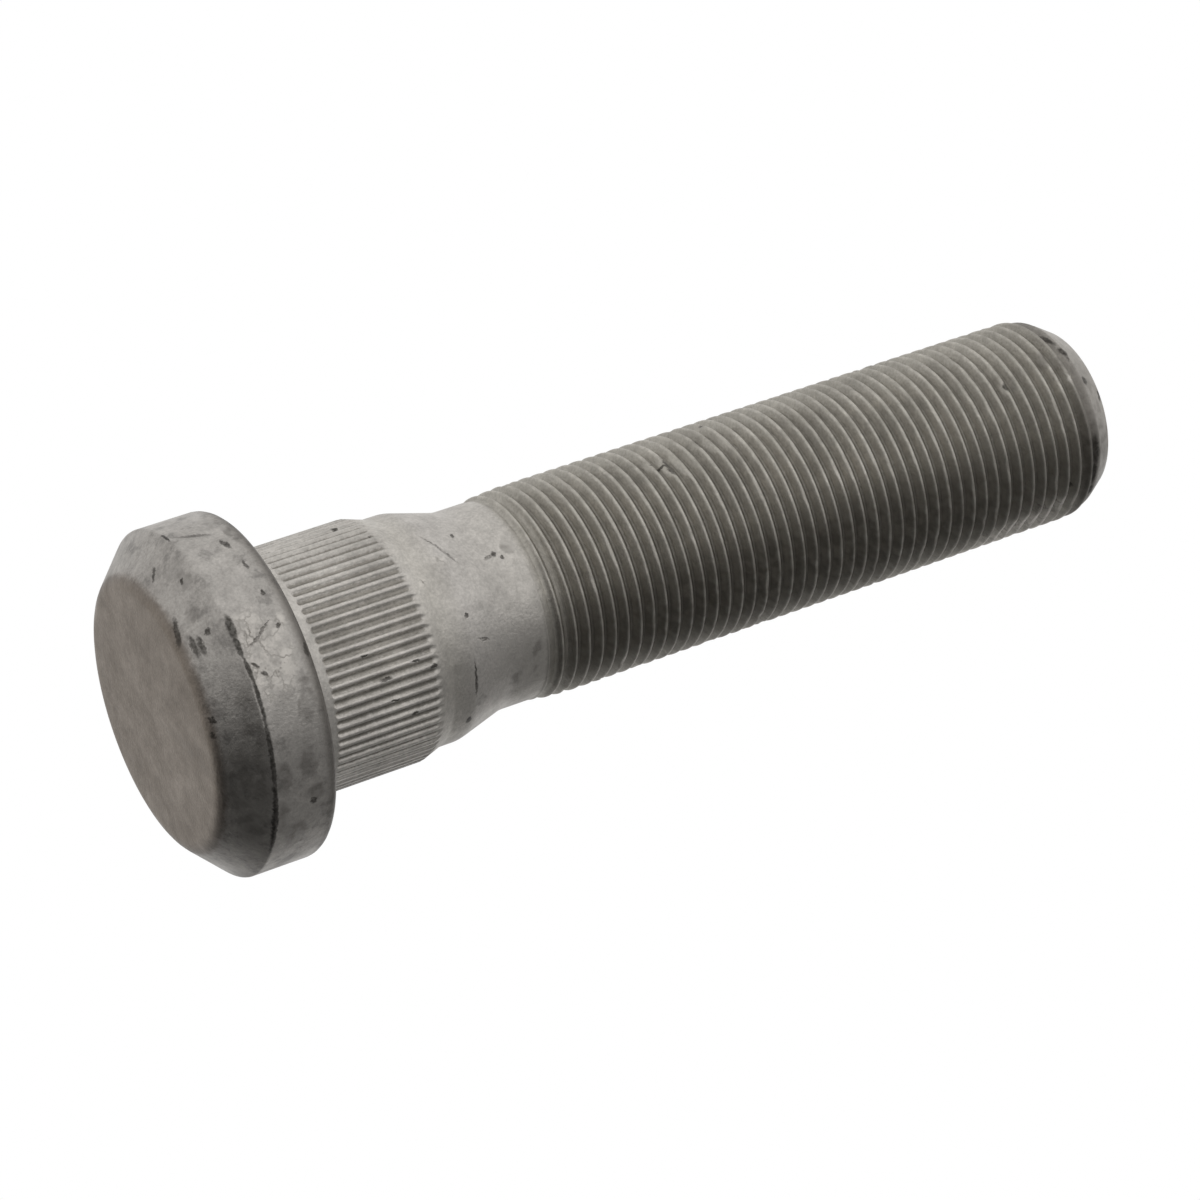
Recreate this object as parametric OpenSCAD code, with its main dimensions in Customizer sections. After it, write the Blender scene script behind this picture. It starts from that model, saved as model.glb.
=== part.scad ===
// Knurled wheel stud of the kind pressed through a truck hub: one forged and
// rolled piece, drawn standing on the flat face of its head, millimetres.

/* [Head] */
// Diameter of the head's rim
head_d = 35.8; // [32:0.1:44]
// Height of the head, from its flat face to the seat
head_h = 11.1; // [8:0.1:16]
// Diameter at which the flat face would meet the chamfer if the corner were sharp
face_d = 27.5; // [20:0.1:30]
// Height of the wide chamfer round the flat face
chamfer_h = 4.1; // [2:0.1:6]
// Radius that softens the corner of the flat face
face_corner_r = 2.4; // [0.5:0.1:3]
// Radius on the rim's back edge
rim_edge_r = 1.1; // [0.3:0.1:1.5]
// Fillet between the seat and the shank
seat_fillet_r = 0.8; // [0.3:0.1:1.5]

/* [Knurl] */
// Diameter over the lands
knurl_d = 25.5; // [24.8:0.1:29]
// Diameter of the plain ring at the seat, which the rolled lands stand a little proud of
ring_d = 25.4; // [24.7:0.1:28.9]
// Length of the plain ring, from the seat to the round ends of the grooves
ring_len = 2.5; // [1.6:0.1:6]
// Length of the knurl, from the round ends of the grooves to the taper
knurl_len = 11.1; // [4:0.1:20]
// Number of grooves round the shank
groove_count = 74; // [40:1:84]
// Width of a groove where it meets the lands
groove_w = 0.76; // [0.4:0.02:0.84]
// Depth of a groove below the lands
groove_depth = 0.3; // [0.15:0.01:0.36]

/* [Collar and neck] */
// Length of the taper on which the grooves run out
runout_len = 2.3; // [1:0.1:5]
// Diameter of the smooth collar
collar_d = 24; // [22.5:0.1:24.6]
// Length of the smooth collar
collar_len = 2.2; // [1:0.1:6]
// Length of the taper from the collar down to the neck
neck_taper_len = 5.3; // [3:0.1:10]
// Diameter of the neck, that of the blank before the thread is rolled
neck_d = 20.95; // [19.5:0.05:21.3]
// Length of the neck
neck_len = 4; // [2:0.1:12]
// Radius that blends the collar and the neck into the taper between them
blend_r = 4; // [1:0.1:5]

/* [Thread] */
// Diameter over the thread's crests, for a nominal 22 by 1.5 metric thread
thread_d = 21.9; // [21.7:0.05:24]
// Length of the threaded end, from the neck to the end face
thread_len = 69.5; // [40:0.1:120]
// Length over which the thread rises out of the neck
thread_rise_len = 1; // [0.5:0.1:2]
// Diameter of the flat end face
end_face_d = 18; // [14:0.1:19]
// Length of the chamfer at the threaded end
end_chamfer_len = 3; // [1.5:0.1:5]
// Radius that blends the thread into the end chamfer
end_blend_r = 4; // [1:0.1:5]

/* [Hidden] */
// One facet to each groove, so that all grooves and lands are alike
$fn = groove_count;
groove_facets = 14;
blend_facets = 24;

// Heights above the head's flat face at which the shape changes
seat_z = head_h;
groove_z = seat_z + ring_len;
land_z = groove_z + groove_depth;
runout_z = groove_z + knurl_len;
collar_z = runout_z + runout_len;
taper_z = collar_z + collar_len;
neck_z = taper_z + neck_taper_len;
thread_z = neck_z + neck_len;
stud_len = thread_z + thread_len;

// A groove is round, so its radius follows from its width and its depth
groove_r = (groove_w * groove_w / 4 + groove_depth * groove_depth) / (2 * groove_depth);
groove_axis_r = knurl_d / 2 - groove_depth + groove_r;

// Half of the stud's section as [radius, height], with a blend radius at each corner
SECTION = [
    [[0, 0], 0],
    [[face_d / 2, 0], face_corner_r],
    [[head_d / 2, chamfer_h], 0],
    [[head_d / 2, seat_z], rim_edge_r],
    [[ring_d / 2, seat_z], seat_fillet_r],
    [[ring_d / 2, groove_z], 0],
    [[knurl_d / 2, land_z], 0],
    [[knurl_d / 2, runout_z], 0],
    [[collar_d / 2, collar_z], 0],
    [[collar_d / 2, taper_z], blend_r],
    [[neck_d / 2, neck_z], blend_r],
    [[neck_d / 2, thread_z], 0],
    [[thread_d / 2, thread_z + thread_rise_len], 0],
    [[thread_d / 2, stud_len - end_chamfer_len], end_blend_r],
    [[end_face_d / 2, stud_len], 0],
    [[0, stud_len], 0]
];

function unit(v) = v / norm(v);
function corner_point(i) = SECTION[i][0];
// Sides from corner i back along the outline and on along it
function back_side(i) = corner_point(i - 1) - corner_point(i);
function on_side(i) = corner_point(i + 1) - corner_point(i);
function half_angle(i) = acos(unit(back_side(i)) * unit(on_side(i))) / 2;
// A corner is hollow when the outline, which runs anticlockwise, turns right there
function is_hollow(i) = cross(-back_side(i), on_side(i)) < 0;
// An arc takes no more than half of the shorter side
function longest_arc(i) = tan(half_angle(i)) * min(norm(back_side(i)), norm(on_side(i))) / 2;

// The sliver between a sharp corner and the arc that blends it. Its sides run straight
// out from the arc's centre and a little past the outline
module corner_sliver(i) {
    r = min(SECTION[i][1], longest_arc(i));
    arc_reach = r / tan(half_angle(i));
    from_centre = -unit(unit(back_side(i)) + unit(on_side(i))) * r / sin(half_angle(i));
    centre = corner_point(i) - from_centre;
    spokes = [
        [0, 0],
        from_centre + unit(back_side(i)) * arc_reach,
        from_centre,
        from_centre + unit(on_side(i)) * arc_reach
    ];
    // The points run anticlockwise, as the section's do
    order = is_hollow(i) ? [0, 3, 2, 1] : [0, 1, 2, 3];
    past_outline = 1.2;
    difference() {
        polygon([for (k = order) centre + spokes[k] * past_outline]);
        translate(centre) circle(r = r, $fn = blend_facets);
    }
}

// The section with slivers taken off its outer corners and added in its hollow ones
module section() {
    blended = [for (i = [0 : len(SECTION) - 1]) if (SECTION[i][1] > 0) i];
    difference() {
        union() {
            polygon([for (corner = SECTION) corner[0]]);
            for (i = blended) if (is_hollow(i)) corner_sliver(i);
        }
        for (i = blended) if (!is_hollow(i)) corner_sliver(i);
    }
}

// The cutter of one groove: a rod along the shank with a round end towards the head
module groove() {
    translate([groove_axis_r, 0, groove_z + groove_r]) {
        sphere(r = groove_r, $fn = groove_facets);
        cylinder(r = groove_r, h = collar_z - groove_z - groove_r, $fn = groove_facets);
    }
}

module wheel_stud() {
    color("#9c9a93")
    difference() {
        rotate_extrude() section();
        for (i = [0 : groove_count - 1]) rotate([0, 0, i * 360 / groove_count]) groove();
    }
}

wheel_stud();
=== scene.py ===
import logging
import math
from dataclasses import dataclass, field
from enum import Enum

import bpy
import numpy as np
from mathutils import Matrix, Vector


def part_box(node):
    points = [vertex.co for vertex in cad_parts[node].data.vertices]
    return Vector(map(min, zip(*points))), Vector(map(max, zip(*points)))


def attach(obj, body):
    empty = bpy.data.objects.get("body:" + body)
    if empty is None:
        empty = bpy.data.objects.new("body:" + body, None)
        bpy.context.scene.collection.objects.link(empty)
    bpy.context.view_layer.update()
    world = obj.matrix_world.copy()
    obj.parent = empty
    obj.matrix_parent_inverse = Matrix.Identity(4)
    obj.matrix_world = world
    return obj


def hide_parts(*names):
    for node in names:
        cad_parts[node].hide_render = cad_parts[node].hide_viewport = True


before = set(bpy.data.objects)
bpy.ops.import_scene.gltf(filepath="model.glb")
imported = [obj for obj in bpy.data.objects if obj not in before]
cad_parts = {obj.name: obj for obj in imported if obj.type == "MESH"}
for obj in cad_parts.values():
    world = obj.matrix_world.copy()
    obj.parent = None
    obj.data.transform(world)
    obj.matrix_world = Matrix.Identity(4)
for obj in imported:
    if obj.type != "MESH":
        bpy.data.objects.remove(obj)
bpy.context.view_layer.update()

# The wheel stud stands on the flat face of its head, with +Z towards the threaded end.
# Sizes are in millimetres and turns in degrees about +Z from +X, unless a name says more.
MM = 0.001
Pair = tuple[float, float]
Triple = tuple[float, float, float]
NODE = "wheel_stud"
BODY = "root"

log = logging.getLogger("wheel_stud")


def linear(hex_colour: str) -> tuple[float, float, float, float]:
    """Turns an sRGB hex colour to linear light.

    Args:
        hex_colour: Six hex digits after a hash mark.

    Returns:
        Red, green, blue and an alpha of one.
    """
    parts = [int(hex_colour[i : i + 2], 16) / 255 for i in (1, 3, 5)]
    lit = [p / 12.92 if p <= 0.04045 else ((p + 0.055) / 1.055) ** 2.4 for p in parts]
    return (*lit, 1.0)


def ease(start: float, end: float, at: np.ndarray) -> np.ndarray:
    """Rises smoothly from 0 at start to 1 at end, as three times the square less twice the cube.

    Args:
        start: Where the rise starts.
        end: Where it ends.
        at: Places to work it out at.

    Returns:
        The height of the rise at each place.
    """
    share = np.clip((at - start) / (end - start), 0, 1)
    return share * share * (3 - 2 * share)


@dataclass(frozen=True)
class Corner:
    """One corner of the stud's half section, with the radius of the arc that blends it."""

    radius: float
    height: float
    blend: float = 0.0


def blended_outline(corners: list[Corner], steps: int = 5) -> np.ndarray:
    """Draws a half section with its corners rounded.

    An arc touches both sides of its corner, so each of its ends lies at the blend radius over
    the tangent of half the corner's angle, and its centre at the blend radius over the sine.

    Args:
        corners: The sharp corners in order. The first and the last have no blend.
        steps: Number of straight steps to an arc.

    Returns:
        Points as rows of radius and height.
    """
    sharp = np.array([(c.radius, c.height) for c in corners])
    pieces = [sharp[:1]]
    for i in range(1, len(corners) - 1):
        blend = corners[i].blend
        if blend == 0:
            pieces.append(sharp[i : i + 1])
            continue
        back = sharp[i - 1] - sharp[i]
        on = sharp[i + 1] - sharp[i]
        back, on = back / np.linalg.norm(back), on / np.linalg.norm(on)
        half = math.acos(float(back @ on)) / 2
        middle = (back + on) / np.linalg.norm(back + on)
        centre = sharp[i] + middle * blend / math.sin(half)
        start = sharp[i] + back * blend / math.tan(half) - centre
        end = sharp[i] + on * blend / math.tan(half) - centre
        swing = math.pi - 2 * half
        share = np.linspace(0, 1, steps + 1)[:, None]
        arc = (np.sin((1 - share) * swing) * start + np.sin(share * swing) * end) / math.sin(swing)
        pieces.append(centre + arc)
    pieces.append(sharp[-1:])
    return np.concatenate(pieces)


# Values on the points that the finish reads: how deep in a groove or in the thread's valley a
# point lies, and how far the thread has risen there
LAYERS = ("groove", "valley", "threaded")


class Skin:
    """Gathers one closed surface of revolution and its cuts as arrays of points and faces."""

    def __init__(self) -> None:
        """Starts with no points and no faces."""
        self.points: list[np.ndarray] = []
        self.faces: list[np.ndarray] = []
        self.layers: dict[str, list[np.ndarray]] = {name: [] for name in LAYERS}
        self.count = 0

    def add(self, radius: np.ndarray, height: np.ndarray, turn: np.ndarray,
            layers: dict[str, np.ndarray] | None = None) -> np.ndarray:
        """Adds points that are given by radius, height and turn.

        Args:
            radius: Distances from the axis in millimetres.
            height: Heights in millimetres.
            turn: Turns about the axis in radians.
            layers: Values that the finish reads, zero where a layer isn't given.

        Returns:
            The points' numbers, in the shape that the three arrays share.
        """
        radius, height, turn = np.broadcast_arrays(radius, height, turn)
        for name, values in self.layers.items():
            given = (layers or {}).get(name, np.zeros(1))
            values.append(np.broadcast_to(given, radius.shape).ravel())
        spot = np.stack([radius * np.cos(turn), radius * np.sin(turn), height], -1)
        self.points.append(spot.reshape(-1, 3) * MM)
        numbers = self.count + np.arange(radius.size).reshape(radius.shape)
        self.count += radius.size
        return numbers

    def strip(self, lower: np.ndarray, upper: np.ndarray, wrap_lower: np.ndarray | None = None,
              wrap_upper: np.ndarray | None = None) -> None:
        """Joins rows of points by quads, closed round the axis.

        Args:
            lower: Numbers of the lower rows' points, turn running along the last axis.
            upper: Numbers of the rows above them.
            wrap_lower: What each lower row runs on into after a full turn, itself if not given.
            wrap_upper: The same for the upper rows.
        """
        after = lower[..., :1] if wrap_lower is None else wrap_lower[..., None]
        above = upper[..., :1] if wrap_upper is None else wrap_upper[..., None]
        low = np.concatenate([lower, after], -1)
        top = np.concatenate([upper, above], -1)
        quads = np.stack([low[..., :-1], low[..., 1:], top[..., 1:], top[..., :-1]], -1)
        self.faces.append(quads.reshape(-1, 4))

    def lathe(self, outline: np.ndarray, turn: np.ndarray) -> np.ndarray:
        """Turns an outline round the axis.

        Args:
            outline: Rows of radius and height, from below upwards along the outside.
            turn: Turns of the points of a ring.

        Returns:
            The numbers of the points, a row for each ring.
        """
        rings = self.add(outline[:, :1], outline[:, 1:], turn[None, :])
        self.strip(rings[:-1], rings[1:])
        return rings

    def split_up(self, coarse: np.ndarray, fine: np.ndarray, coarse_below: bool) -> None:
        """Joins a ring to one with four times its points, by five triangles to a coarse step.

        Args:
            coarse: Numbers of the ring with fewer points.
            fine: Numbers of the ring with four times as many, the first at the same turn.
            coarse_below: True where the coarse ring is the lower one.
        """
        here, there = coarse, np.roll(coarse, -1)
        steps = [np.roll(fine, -k)[::4] for k in range(5)]
        threes = [
            (here, steps[1], steps[0]),
            (here, steps[2], steps[1]),
            (here, there, steps[2]),
            (there, steps[3], steps[2]),
            (there, steps[4], steps[3]),
        ]
        for three in threes:
            ordered = three if coarse_below else three[::-1]
            # A triangle is kept as a quad whose last two corners are one point
            self.faces.append(np.stack([*ordered, ordered[-1]], -1))

    def cap(self, ring: np.ndarray, height: float, facing_up: bool) -> None:
        """Closes a ring with a fan of triangles round a point on the axis.

        Args:
            ring: Numbers of the ring's points.
            height: Height of the point on the axis.
            facing_up: True for a cap that faces up.
        """
        pole = self.add(np.zeros(1), np.full(1, height), np.zeros(1))
        middle = np.full(ring.shape, pole[0])
        there = np.roll(ring, -1)
        ends = (ring, there) if facing_up else (there, ring)
        self.faces.append(np.stack([*ends, middle, middle], -1))

    def mesh(self, name: str) -> bpy.types.Mesh:
        """Makes the mesh, with the quads that have run together left out or made triangles.

        Args:
            name: Name of the mesh.

        Returns:
            A smooth-shaded mesh with its faces outwards.
        """
        quads = np.concatenate(self.faces)
        same = quads == np.roll(quads, -1, axis=1)
        whole = quads[~same.any(1)]
        # A quad with one short side gives up the corner that repeats the next one
        short = quads[same.sum(1) == 1]
        keep = ~same[same.sum(1) == 1]
        threes = short[keep].reshape(-1, 3)
        used, back = np.unique(np.concatenate([whole.ravel(), threes.ravel()]), return_inverse=True)
        points = np.concatenate(self.points)[used]
        fours = back[: whole.size].reshape(-1, 4)
        threes = back[whole.size :].reshape(-1, 3)
        mesh = bpy.data.meshes.new(name)
        mesh.from_pydata(points.tolist(), [], fours.tolist() + threes.tolist())
        mesh.polygons.foreach_set("use_smooth", np.ones(len(mesh.polygons), bool))
        for layer, values in self.layers.items():
            attribute = mesh.attributes.new(layer, "FLOAT", "POINT")
            attribute.data.foreach_set("value", np.concatenate(values)[used].astype(np.float32))
        mesh.update()
        return mesh


@dataclass(frozen=True)
class Knurl:
    """Grooves along the shank, each cut as by a rod with a round end towards the head."""

    count: int = 74
    width: float = 0.76
    depth: float = 0.3
    land_r: float = 12.75
    start: float = 13.6
    taper: float = 24.7
    # Places across half a groove that get a line of points, of 1 at its edge
    lines: tuple[float, ...] = (0.0, 0.42, 0.79, 1.0)
    # Numbers of rings at the round ends, down the straight of the grooves and at the run-outs
    end_rings: int = 8
    straight_rings: int = 5
    runout_rings: int = 7
    # Distances from the grooves to the rings just below and just past them
    margins: Pair = (0.12, 0.15)

    @property
    def rod_r(self) -> float:
        """Radius of the rod that leaves a groove of this width and depth."""
        return (self.width**2 / 4 + self.depth**2) / (2 * self.depth)

    @property
    def axis_r(self) -> float:
        """Distance of the rod's axis from the stud's."""
        return self.land_r - self.depth + self.rod_r

    @property
    def ball_z(self) -> float:
        """Height of the centre of the rod's round end."""
        return self.start + self.rod_r

    def turns(self) -> np.ndarray:
        """Gives the turns of each groove's eight lines: its middle, three each side, and the land.

        Returns:
            Turns in radians, in order round the shank.
        """
        pitch = 2 * math.pi / self.count
        side = self.width / 2 / self.land_r * np.array(self.lines)
        lines = np.concatenate([side, [pitch / 2], pitch - side[:0:-1]])
        return (np.arange(self.count)[:, None] * pitch + lines).ravel()

    def heights(self, slope: float) -> np.ndarray:
        """Gives the heights of the rings, close together where the grooves start and run out.

        Args:
            slope: Loss of radius to each millimetre along the taper.

        Returns:
            Heights from just below the grooves to just past them.
        """
        reach = math.sqrt(self.rod_r**2 - (self.rod_r - self.depth) ** 2)
        quarter = np.linspace(0, math.pi / 2, self.end_rings)
        round_end = self.ball_z - reach * np.cos(quarter)
        quarter = np.linspace(0, math.pi / 2, self.runout_rings)
        runout = self.taper + self.depth / slope * np.sin(quarter)
        straight = np.linspace(self.ball_z, self.taper, self.straight_rings + 2)[1:-1]
        below, above = self.margins
        first, last = [round_end[0] - below], [runout[-1] + above]
        return np.concatenate([first, round_end, straight, runout, last])

    def cut(self, plain: np.ndarray, height: np.ndarray, turn: np.ndarray) -> np.ndarray:
        """Cuts the grooves into the shank.

        Seen along the stud, a point at radius p and a turn t from the groove's middle lies on
        the rod where p is the axis distance times cos t, less the root of the square of the
        rod's radius there less the square of the axis distance times sin t.

        Args:
            plain: Radius of the shank before the cut.
            height: Heights, in a column.
            turn: Turns, in a row.

        Returns:
            The smaller of the plain radius and that of the rod.
        """
        pitch = 2 * math.pi / self.count
        off = (turn + pitch / 2) % pitch - pitch / 2
        below = np.minimum(height - self.ball_z, 0)
        left = self.rod_r**2 - below**2 - (self.axis_r * np.sin(off)) ** 2
        rod = self.axis_r * np.cos(off) - np.sqrt(np.maximum(left, 0))
        return np.where(left > 0, np.minimum(plain, rod), plain)


@dataclass(frozen=True)
class Ding:
    """A dent across the crests of the thread, with its size as on the unrolled surface."""

    height: float
    turn: float
    high: float
    wide: float
    depth: float


@dataclass(frozen=True)
class Thread:
    """Rolled right-hand thread, which rises out of the neck and fades on the end chamfer."""

    pitch: float = 1.5
    crest_r: float = 10.95
    root_r: float = 10.06
    neck_r: float = 10.475
    # Height of a crest's middle at turn 0, less whole pitches
    crest_at: float = 1.277
    crest_half: float = 0.1
    # Half the angle between a valley's two flanks
    flank: float = 30.0
    start: float = 37.9
    end: float = 107.0
    # Heights between which the crests rise, in a quick part and a slow one
    quick_rise: Pair = (38.2, 39.6)
    slow_rise: Pair = (38.8, 43.0)
    quick_share: float = 0.55
    # Heights between which the roots deepen, and between which they fade again
    roots_start: Pair = (38.0, 40.6)
    roots_end: Pair = (103.6, 106.2)
    # Heights between which the thread's own colours come in, and between which they go
    colours_start: Pair = (38.0, 39.4)
    colours_end: Pair = (103.4, 105.2)
    # Heights of a turn's rows of points above the middle of a crest
    offsets: tuple[float, ...] = (0.06, 0.13, 0.24, 0.55, 0.66, 0.75, 0.84, 0.95, 1.26, 1.37, 1.44)
    # The small dings: how many, on which crests, and their height, widths and depths
    seed: int = 22
    small_dings: int = 260
    small_crests: tuple[int, int] = (27, 68)
    small_high: float = 0.9
    small_wide: Pair = (0.8, 2.4)
    small_deep: Pair = (0.04, 0.17)
    dings: tuple[Ding, ...] = (
        Ding(44.2, -145, 1.2, 1.4, 0.14),
        Ding(53.2, -138, 1.2, 1.5, 0.18),
        Ding(56.1, -147, 1.3, 2.2, 0.26),
        Ding(57.8, -140, 1.4, 2.8, 0.32),
        Ding(59.2, -136, 1.2, 1.5, 0.18),
        Ding(58.3, -143, 5.0, 4.2, 0.27),
        Ding(64.0, -150, 3.2, 3.0, 0.24),
        Ding(62.1, -152, 1.3, 1.6, 0.22),
        Ding(63.7, -143, 1.2, 1.2, 0.15),
        Ding(65.2, -171, 1.4, 1.3, 0.3),
        Ding(86.6, -80, 1.2, 1.2, 0.18),
        Ding(93.7, -79, 1.2, 1.2, 0.18),
        Ding(95.3, -137, 1.1, 0.9, 0.16),
        Ding(96.6, -133, 1.1, 0.9, 0.16),
        Ding(96.8, -121, 1.3, 1.4, 0.28),
        Ding(102.6, -130, 1.4, 1.6, 0.22),
        Ding(104.3, -116, 1.0, 1.4, 0.1),
        Ding(97.0, -28, 9.0, 4.5, 0.32),
        Ding(101.5, -36, 5.0, 4.0, 0.3),
    )

    def dents(self, height: np.ndarray, turn: np.ndarray) -> np.ndarray:
        """Gives how far the crests are knocked down, by the larger dings and small seeded ones.

        A ding's depth falls off as one less the square of the distance from its middle, which
        is measured in half widths along the crest and in half heights along the stud.

        Args:
            height: Heights of the points, in rows.
            turn: Turns of the points, of the same shape.

        Returns:
            Depth in millimetres at each point.
        """
        draw = np.random.default_rng(self.seed)
        around = draw.uniform(-math.pi, math.pi, self.small_dings)
        count = draw.integers(*self.small_crests, self.small_dings)
        wide = draw.uniform(*self.small_wide, self.small_dings)
        deep = draw.uniform(*self.small_deep, self.small_dings)
        on_crest = self.crest_at + self.pitch * (count + around / (2 * math.pi))
        placed = [(d.height, math.radians(d.turn), d.high, d.wide, d.depth) for d in self.dings]
        small = np.stack([on_crest, around, np.full(around.shape, self.small_high), wide, deep], -1)
        depth = np.zeros(height.shape)
        for z, middle, high, across, most in np.concatenate([np.array(placed), small]):
            round_off = (turn - middle) * self.crest_r / (across / 2)
            along_off = (height - z) / (high / 2)
            depth = np.maximum(depth, most * (1 - round_off**2 - along_off**2))
        return depth

    def radii(self, height: np.ndarray, chamfer: np.ndarray) -> tuple[np.ndarray, np.ndarray]:
        """Gives the radii of the crests and of the roots, no larger than the end chamfer's.

        The crests are quick to leave the neck, then slow to fill. The roots fade into the neck
        and into the end chamfer.

        Args:
            height: Heights in millimetres.
            chamfer: Rows of radius and height of the stud's end.

        Returns:
            The radii of the crests, and those of the roots.
        """
        limit = np.interp(height, chamfer[:, 1], chamfer[:, 0])
        quick, slow = ease(*self.quick_rise, height), ease(*self.slow_rise, height)
        fill = self.quick_share * quick + (1 - self.quick_share) * slow
        crest = self.neck_r + (self.crest_r - self.neck_r) * fill
        bare = self.neck_r - (self.neck_r - self.root_r) * ease(*self.roots_start, height)
        root = bare + (limit - bare) * ease(*self.roots_end, height)
        return np.minimum(crest, limit), np.minimum(root, limit)

    def build(self, skin: Skin, lower: np.ndarray, upper: np.ndarray, turn: np.ndarray,
              chamfer: np.ndarray) -> None:
        """Adds the helical rows between two level rings.

        A row's height is its offset from a crest, plus the pitch times the turns made. Rows
        that would pass below the lower ring or above the upper one take that ring's points.
        The depth below the crest is the distance past the crest's half width over the tangent
        of the flank's angle, and no more than the full depth.

        Args:
            skin: The surface to add to.
            lower: Numbers of the lower ring's points.
            upper: Numbers of the upper ring's points.
            turn: Turns of the points of both rings.
            chamfer: Rows of radius and height of the stud's end.
        """
        rows = len(self.offsets)
        first = math.floor((self.start - self.crest_at) / self.pitch) - 1
        last = math.ceil((self.end - self.crest_at) / self.pitch) + 1
        lift = np.arange(first, last + 1)[:, None] * self.pitch
        base = (self.crest_at + lift + np.array(self.offsets)).ravel()
        height = base[:, None] + self.pitch * turn[None, :] / (2 * math.pi)
        offset = np.tile(np.array(self.offsets), last - first + 1)[:, None]
        away = np.minimum(offset, self.pitch - offset) - self.crest_half
        level = np.clip(height, self.start, self.end)
        crest, root = self.radii(level, chamfer)
        slope = math.tan(math.radians(self.flank))
        radius = np.maximum(crest - np.maximum(away, 0) / slope, root)
        turns = np.broadcast_to(turn, height.shape)
        wrapped = (turns + math.pi) % (2 * math.pi) - math.pi
        radius = np.minimum(radius, crest - self.dents(height, wrapped))
        below, above = height <= self.start, height >= self.end
        free = ~(below | above)
        numbers = np.where(below, lower[None, :], upper[None, :])
        # The finish needs the depth below the crest, and where there is a thread at all
        valley = (crest - radius) / (self.crest_r - self.root_r)
        threaded = ease(*self.colours_start, level) * (1 - ease(*self.colours_end, level))
        numbers[free] = skin.add(radius[free], height[free], turns[free],
                                 {"valley": valley[free], "threaded": threaded[free]})
        # After a full turn a row runs on into the one a pitch above it
        on = np.concatenate([numbers[rows:, 0], np.full(rows, upper[0])])
        skin.strip(numbers[:-1], numbers[1:], on[:-1], on[1:])


@dataclass(frozen=True)
class WheelStud:
    """The stud: round head, knurled shank, collar, neck and threaded end."""

    head_r: float
    length: float
    face_r: float = 13.75
    chamfer_h: float = 4.1
    head_h: float = 11.1
    ring_r: float = 12.7
    collar_r: float = 12.0
    taper_end: float = 27.0
    collar_end: float = 29.2
    neck_start: float = 34.5
    end_face_r: float = 9.0
    end_chamfer: float = 3.0
    # Radii of the blends, from the flat face up
    face_blend: float = 2.4
    rim_front_blend: float = 0.35
    rim_back_blend: float = 1.1
    seat_blend: float = 0.8
    runout_blend: float = 1.5
    shaft_blend: float = 4.0
    end_blend: float = 0.25
    # Radii of the rings within the flat face, and within the end face
    face_rings: tuple[float, ...] = (4.0, 8.0)
    end_rings: tuple[float, ...] = (6.0, 3.0)
    # Distance from the knurl's first and last ring to the plain ones next to them
    knurl_gap: float = 0.1
    knurl: Knurl = field(default_factory=Knurl)
    thread: Thread = field(default_factory=Thread)

    def build(self) -> bpy.types.Object:
        """Builds the stud as one closed mesh.

        Returns:
            The object, at the origin.
        """
        knurl, thread, skin = self.knurl, self.thread, Skin()
        slope = (knurl.land_r - self.collar_r) / (self.taper_end - knurl.taper)
        coarse = np.arange(2 * knurl.count) * math.pi / knurl.count
        fine = knurl.turns()
        heights = knurl.heights(slope)

        head = blended_outline([
            Corner(0, 0),
            Corner(self.face_r, 0, self.face_blend),
            Corner(self.head_r, self.chamfer_h, self.rim_front_blend),
            Corner(self.head_r, self.head_h, self.rim_back_blend),
            Corner(self.ring_r, self.head_h, self.seat_blend),
            Corner(self.ring_r, heights[0] - self.knurl_gap),
        ])
        inner = np.array([(radius, 0.0) for radius in self.face_rings])
        below = skin.lathe(np.concatenate([inner, head[1:]]), coarse)
        skin.cap(below[0], 0, facing_up=False)

        land_z = knurl.start + knurl.depth
        plain = np.interp(heights, [knurl.start, land_z, knurl.taper, self.taper_end],
                          [self.ring_r, knurl.land_r, knurl.land_r, self.collar_r])[:, None]
        radius = knurl.cut(plain, heights[:, None], fine[None, :])
        rings = skin.add(radius, heights[:, None], fine[None, :],
                         {"groove": (plain - radius) / knurl.depth})
        skin.strip(rings[:-1], rings[1:])
        skin.split_up(below[-1], rings[0], coarse_below=True)

        shank = blended_outline([
            Corner(float(plain[-1, 0]) - self.knurl_gap * slope, heights[-1] + self.knurl_gap),
            Corner(self.collar_r, self.taper_end, self.runout_blend),
            Corner(self.collar_r, self.collar_end, self.shaft_blend),
            Corner(thread.neck_r, self.neck_start, self.shaft_blend),
            Corner(thread.neck_r, thread.start),
        ])
        middle = skin.lathe(shank, coarse)
        skin.split_up(middle[0], rings[-1], coarse_below=False)

        tip = blended_outline([
            Corner(thread.crest_r, self.neck_start),
            Corner(thread.crest_r, self.length - self.end_chamfer, self.shaft_blend),
            Corner(self.end_face_r, self.length, self.end_blend),
            Corner(0, self.length),
        ])
        rest = tip[(tip[:, 1] > thread.end) & (tip[:, 0] > 0)]
        start_r = float(np.interp(thread.end, tip[:, 1], tip[:, 0]))
        inner = np.array([(radius, self.length) for radius in self.end_rings])
        above = skin.lathe(np.concatenate([[(start_r, thread.end)], rest, inner]), coarse)
        skin.cap(above[-1], self.length, facing_up=True)
        thread.build(skin, middle[-1], above[0], coarse, tip[:-1])

        piece = bpy.data.objects.new("stud", skin.mesh("stud"))
        bpy.context.scene.collection.objects.link(piece)
        return piece


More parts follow.
